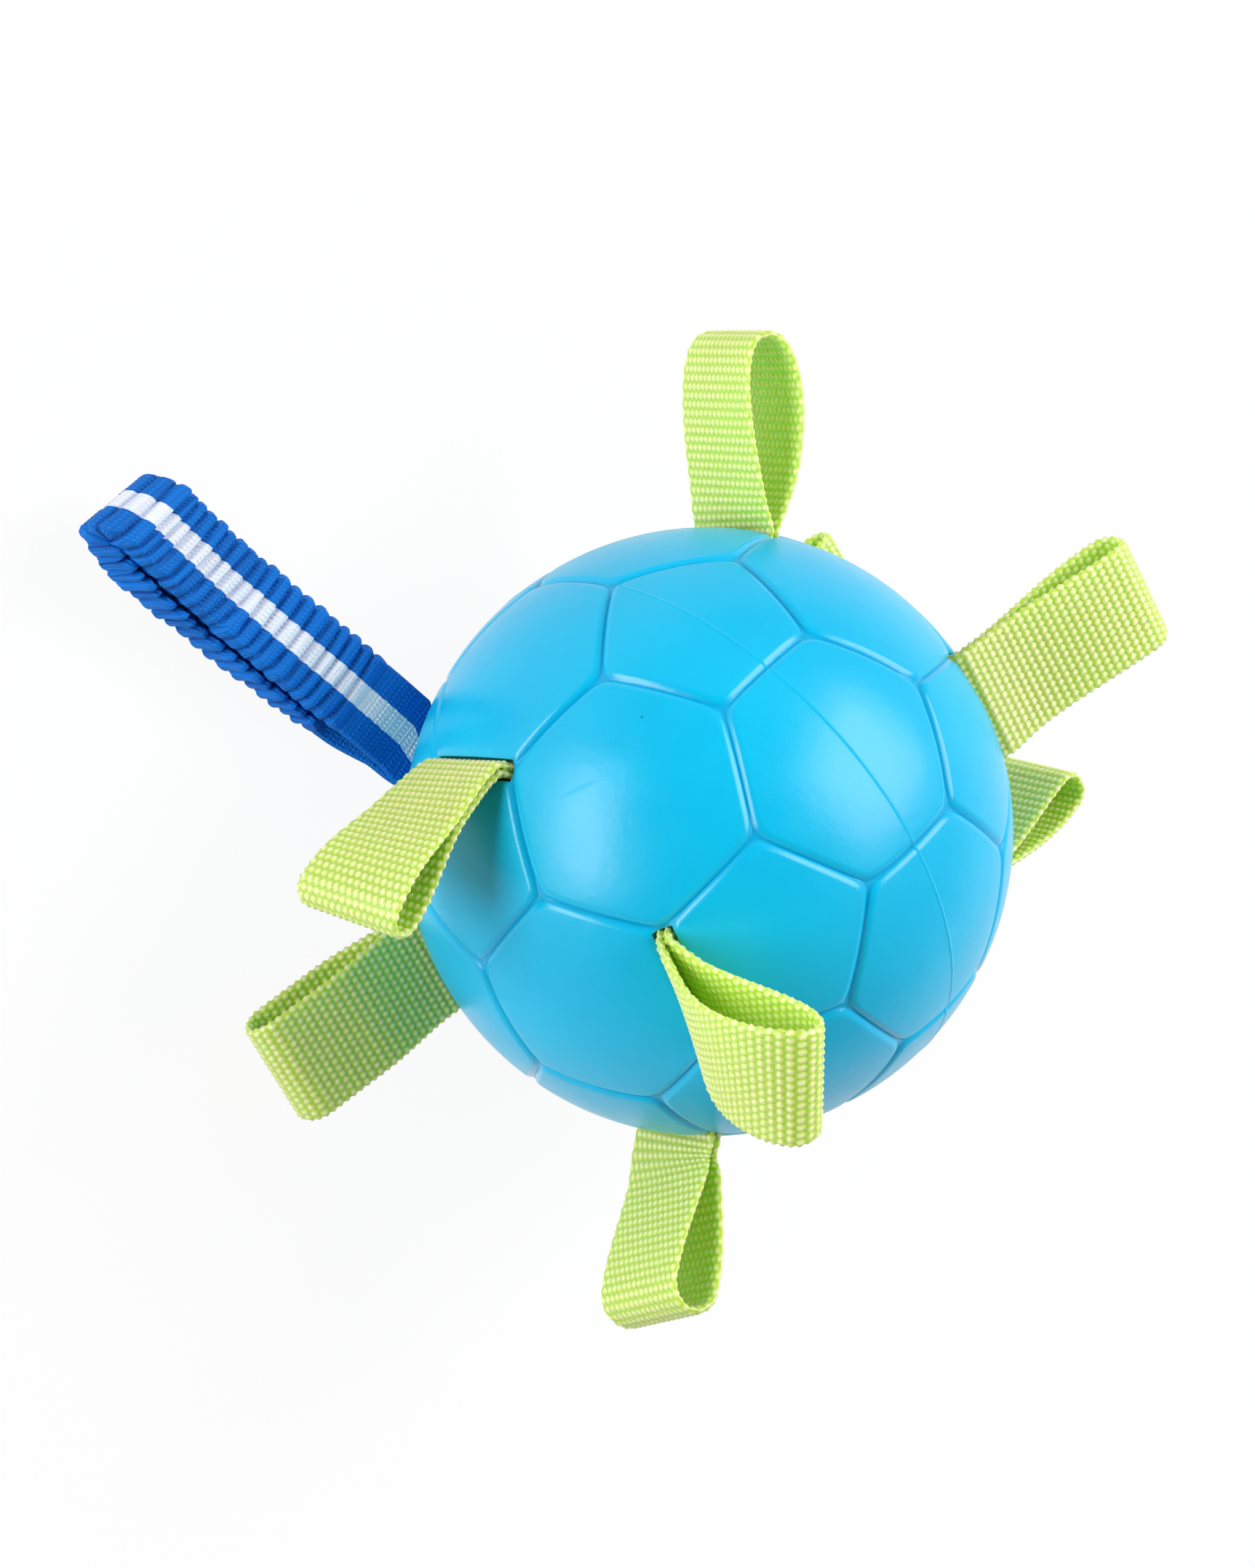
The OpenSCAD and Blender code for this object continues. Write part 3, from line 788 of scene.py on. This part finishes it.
def handle_pieces(material, elastic):
    strap = Strap(HANDLE_SLOT, HANDLE_ACROSS, HANDLE_LIE, HANDLE_SHEAR)
    turn_at = 1 - LAYER / strap.length

    def half(u, v):
        opening = HANDLE_T / 2 + (LAYER - HANDLE_T / 2) * smoothstep((u - PART_FROM) / PART_OVER)
        fold = np.sqrt(np.clip(1 - (np.clip(u - turn_at, 0, 1) / (1 - turn_at)) ** 2, 0, 1))
        return opening * fold

    line, u = closed_line(strap, half, HANDLE_T)
    line, s, way, u = resample(line, u, HANDLE_STEP)
    out = u * strap.length
    tip = s[np.argmax(u)]
    flat = np.linspace(-HANDLE_W / 2, HANDLE_W / 2, HANDLE_PLACES)
    ripple = gather_ripple(s - tip, flat)
    gathered = smoothstep((out - GATHER_FROM + 1) / GATHER_OVER)[:, None]
    slack = 1 - END_SLACK * np.exp(-((s - tip) / END_REACH) ** 2)[:, None]
    body = HANDLE_T / 2 + gathered * GATHER_BODY
    top = body + gathered * slack * (OUTER_RISE * ripple - OUTER_SINK)
    bottom = np.minimum(body + gathered * (INNER_RISE * ripple + INNER_FILL), LAYER - INNER_ROOM)
    # Beyond the upper layer's edge the lower layer's gathers flare up beside it
    at_edge = smoothstep((-flat - HANDLE_W / 2 + FLARE_WIDTH) / FLARE_OVER)[None]
    beside = at_edge * smoothstep((tip - s) / FLARE_FROM_END)[:, None]
    bottom = bottom + gathered * beside * (FLARE_RISE * ripple - FLARE_SINK)
    squeeze = gathered[:, 0] * slack[:, 0]
    mid_ripple = ripple[:, len(flat) // 2]
    half_w = HANDLE_W / 2 + squeeze * (SIDE_RISE * mid_ripple - SIDE_SINK)
    off = flat[None] * (half_w / (HANDLE_W / 2))[:, None]
    # The lower layer lies a little to one side of the upper
    shift = -LAYER_SHIFT * smoothstep((tip - s) / SHIFT_FROM_END) * smoothstep(out / SHIFT_FROM_BALL)
    reach = np.abs(flat) / (HANDLE_W / 2)
    soft = edge_rounding(reach, *SOFT_EDGE)[None]
    hard = edge_rounding(reach, *HARD_EDGE)[None]
    rounding = hard * (1 - gathered) + soft * gathered
    weave = pearls(s[:, None] * WEAVE_ALONG, off * WEAVE_ACROSS)
    fine = WEAVE_RELIEF * weave * (1 - WEAVE_LOSS * gathered)
    top = (top + fine) * rounding
    bottom = (bottom + fine) * hard
    # Painted shade: the value is low in the gathers' creases and between the weave's bumps, and the material
    # darkens the colour by it
    shade = (1 - gathered * (1 - np.clip(ripple, 0, 1))) * (SHADE_FLOOR + SHADE_RISE * weave)
    shade = with_edges(shade, shade[:, 0], shade)
    edge = BORDER + BORDER_RISE * squeeze * np.clip(mid_ripple, 0, 1)
    pieces = []
    far = out >= SLEEVE_FROM
    first, last = np.argmax(far), len(far) - np.argmax(far[::-1])
    spans = {"sleeve": slice(first, last), "lead": slice(0, first + 1), "return": slice(last - 1, len(s))}
    for part, cut in spans.items():
        obj = band("handle_" + part, strap, line[cut], s[cut] - tip, way[cut], u[cut], off[cut],
                   top[cut], bottom[cut], edge[cut], material, shift[cut])
        give(obj, "height", "FLOAT", shade[cut])
        pieces.append(obj)
    # The knitted elastic inside the sleeve
    inner = np.linspace(-ELASTIC_HALF, ELASTIC_HALF, ELASTIC_PLACES)
    cut = slice(first + 2, last - 2, 3)
    rib = ELASTIC_T + ELASTIC_RIB * np.cos(2 * math.pi * inner / ELASTIC_PITCH)
    rows = len(s[cut])
    sheet = np.repeat(rib[None], rows, 0)
    core = band("handle_elastic", strap, line[cut], s[cut] - tip, way[cut], u[cut],
                np.repeat(inner[None], rows, 0), sheet, sheet, 0 * s[cut] + ELASTIC_EDGE, elastic, shift[cut])
    return strap, pieces, core


def chord_point(strap, l):
    s = math.radians(strap.slew)
    way = math.cos(s) * strap.chord + math.sin(s) * strap.wide
    return tuple((strap.hinge() + l * way) * MM)


def place_handle(material, elastic):
    strap, (sleeve, lead, back), core = handle_pieces(material, elastic)
    for obj in (sleeve, core):
        chord_point(strap, STRETCH_FROM)
        chord_point(strap, STRETCH_TO)
        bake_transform(obj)
    start = tuple((strap.hinge() - BLEND_BELOW * strap.start_way()) * MM)
    end = tuple((strap.hinge() + HANDLE_BLEND * strap.start_way()) * MM)
    for obj in (lead, back):
        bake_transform(obj)
    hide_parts("handle_sleeve_upper", "handle_sleeve_lower", "handle_sleeve_end", "handle_tack")
    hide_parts("handle_base", "handle_tail")
    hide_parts("handle_elastic_upper", "handle_elastic_lower", "handle_elastic_end")


# Stage, light and camera, in metres

FLOOR_HALF = 30.0
# Share of white that the floor shows to the camera and in reflections; the rest takes the shadow
FLOOR_WHITE = 0.93
# The world's strength along the view: a pale backdrop behind the ball, less a darker room in front
BACKDROP_WAY = (0.382, 0.482, -0.788)
BACKDROP_RISE = (0.18, 0.5, 0.44, 1.0)
FRONT_LOSS = (-0.92, -0.45, 0.32, 0.0)
CAMERA_AT = (-0.32566, -0.39373, 0.62149)
CAMERA_RIGHT = (0.4488, 0.6490, 0.6143)
CAMERA_BACK = (-0.3821, -0.4821, 0.7884)
SENSOR = 36.0
LENS = 74.68
FAR_CLIP = 20.0
LIGHT_DISTANCE = 1.1


def floor():
    n = Nodes("studio_floor")
    tree = n.tree
    tree.nodes.remove(n.shader)
    tint = n.mix(n.ramp(n.noise(n.place(), scale=3.0), 0.3, 0.7), *FLOOR_GREYS)
    diffuse = n.add("ShaderNodeBsdfDiffuse")
    n.link(tint, diffuse.inputs["Color"])
    glow = n.add("ShaderNodeEmission", Strength=1.0)
    path = n.add("ShaderNodeLightPath")
    seen = n.math("MAXIMUM", path.outputs["Is Camera Ray"], path.outputs["Is Glossy Ray"])
    seen = n.math("MAXIMUM", seen, path.outputs["Is Transmission Ray"])
    blend = n.add("ShaderNodeMixShader")
    n.link(n.math("MULTIPLY", seen, FLOOR_WHITE), blend.inputs["Fac"])
    n.link(diffuse.outputs["BSDF"], blend.inputs[1])
    n.link(glow.outputs["Emission"], blend.inputs[2])
    n.link(blend.outputs["Shader"], tree.nodes["Material Output"].inputs["Surface"])
    size = FLOOR_HALF
    z = -BALL_R * MM
    corners = [(-size, -size, z), (size, -size, z), (size, size, z), (-size, size, z)]
    new_object("studio_floor", corners, [(0, 1, 2, 3)], n.material, smooth=False)


def world():
    w = bpy.data.worlds.new("studio")
    w.use_nodes = True
    bpy.context.scene.world = w
    tree = w.node_tree
    back = tree.nodes["Background"]
    back.inputs["Color"].default_value = (1, 1, 1, 1)
    place = tree.nodes.new("ShaderNodeTexCoord")
    facing = tree.nodes.new("ShaderNodeVectorMath")
    facing.operation = "DOT_PRODUCT"
    facing.inputs[1].default_value = BACKDROP_WAY
    tree.links.new(place.outputs["Generated"], facing.inputs[0])
    total = tree.nodes.new("ShaderNodeMath")
    total.operation = "SUBTRACT"
    for socket, numbers in zip(total.inputs, (BACKDROP_RISE, FRONT_LOSS)):
        level = tree.nodes.new("ShaderNodeMapRange")
        level.interpolation_type = "SMOOTHSTEP"
        set_range(level, *numbers)
        tree.links.new(facing.outputs["Value"], level.inputs["Value"])
        tree.links.new(level.outputs["Result"], socket)
    tree.links.new(total.outputs[0], back.inputs["Strength"])


def softbox(name, way, size, power):
    data = bpy.data.lights.new(name, "AREA")
    data.shape = "RECTANGLE"
    data.size, data.size_y = size
    data.energy = power
    obj = in_scene(name, data)
    way = Vector(way).normalized()
    obj.location = way * LIGHT_DISTANCE
    obj.rotation_euler = way.to_track_quat("Z", "Y").to_euler()


def camera():
    right = Vector(CAMERA_RIGHT).normalized()
    back = Vector(CAMERA_BACK).normalized()
    up = back.cross(right).normalized()
    right = up.cross(back)
    data = bpy.data.cameras.new("photo_view")
    data.sensor_fit = "VERTICAL"
    data.sensor_height = SENSOR
    data.lens = LENS
    data.clip_end = FAR_CLIP
    obj = in_scene("photo_view", data)
    turn = Matrix((right, up, back)).transposed().to_4x4()
    obj.matrix_world = Matrix.Translation(Vector(CAMERA_AT)) @ turn
    bpy.context.scene.camera = obj


camera()
world()
floor()
softbox("softbox_right", (-0.08, 0.506, 0.859), size=(0.73, 0.83), power=12.5)
softbox("softbox_left", (-0.60, -0.79, 0.10), size=(0.82, 0.39), power=8.6)

rubber = ball_material()
green = webbing_material()
blue = handle_material()
elastic_knit = plain_material("elastic_knit", ELASTIC_WHITES, scale=900.0, rough=0.7, bump=0.4)
rod_plastic = plain_material("rod_plastic", ROD_GREYS, scale=400.0, rough=0.45, bump=0.1)
thread_green = plain_material("thread_green", THREAD_GREENS, scale=1500.0, rough=0.6, bump=0.5)

for skin, shell in zip(ball_pieces(rubber), ("shell_front", "shell_rear")):
    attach(skin, "ball")
    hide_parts(shell)
for key in LOOPS:
    loop_piece(key, green)
place_handle(blue, elastic_knit)

for name, node in frame["nodes"].items():
    if "rod" in name.split("_"):
        node.material_slots[0].material = rod_plastic
frame["nodes"]["loop_stitching"].material_slots[0].material = thread_green

bpy.context.scene.view_settings.view_transform = "Standard"
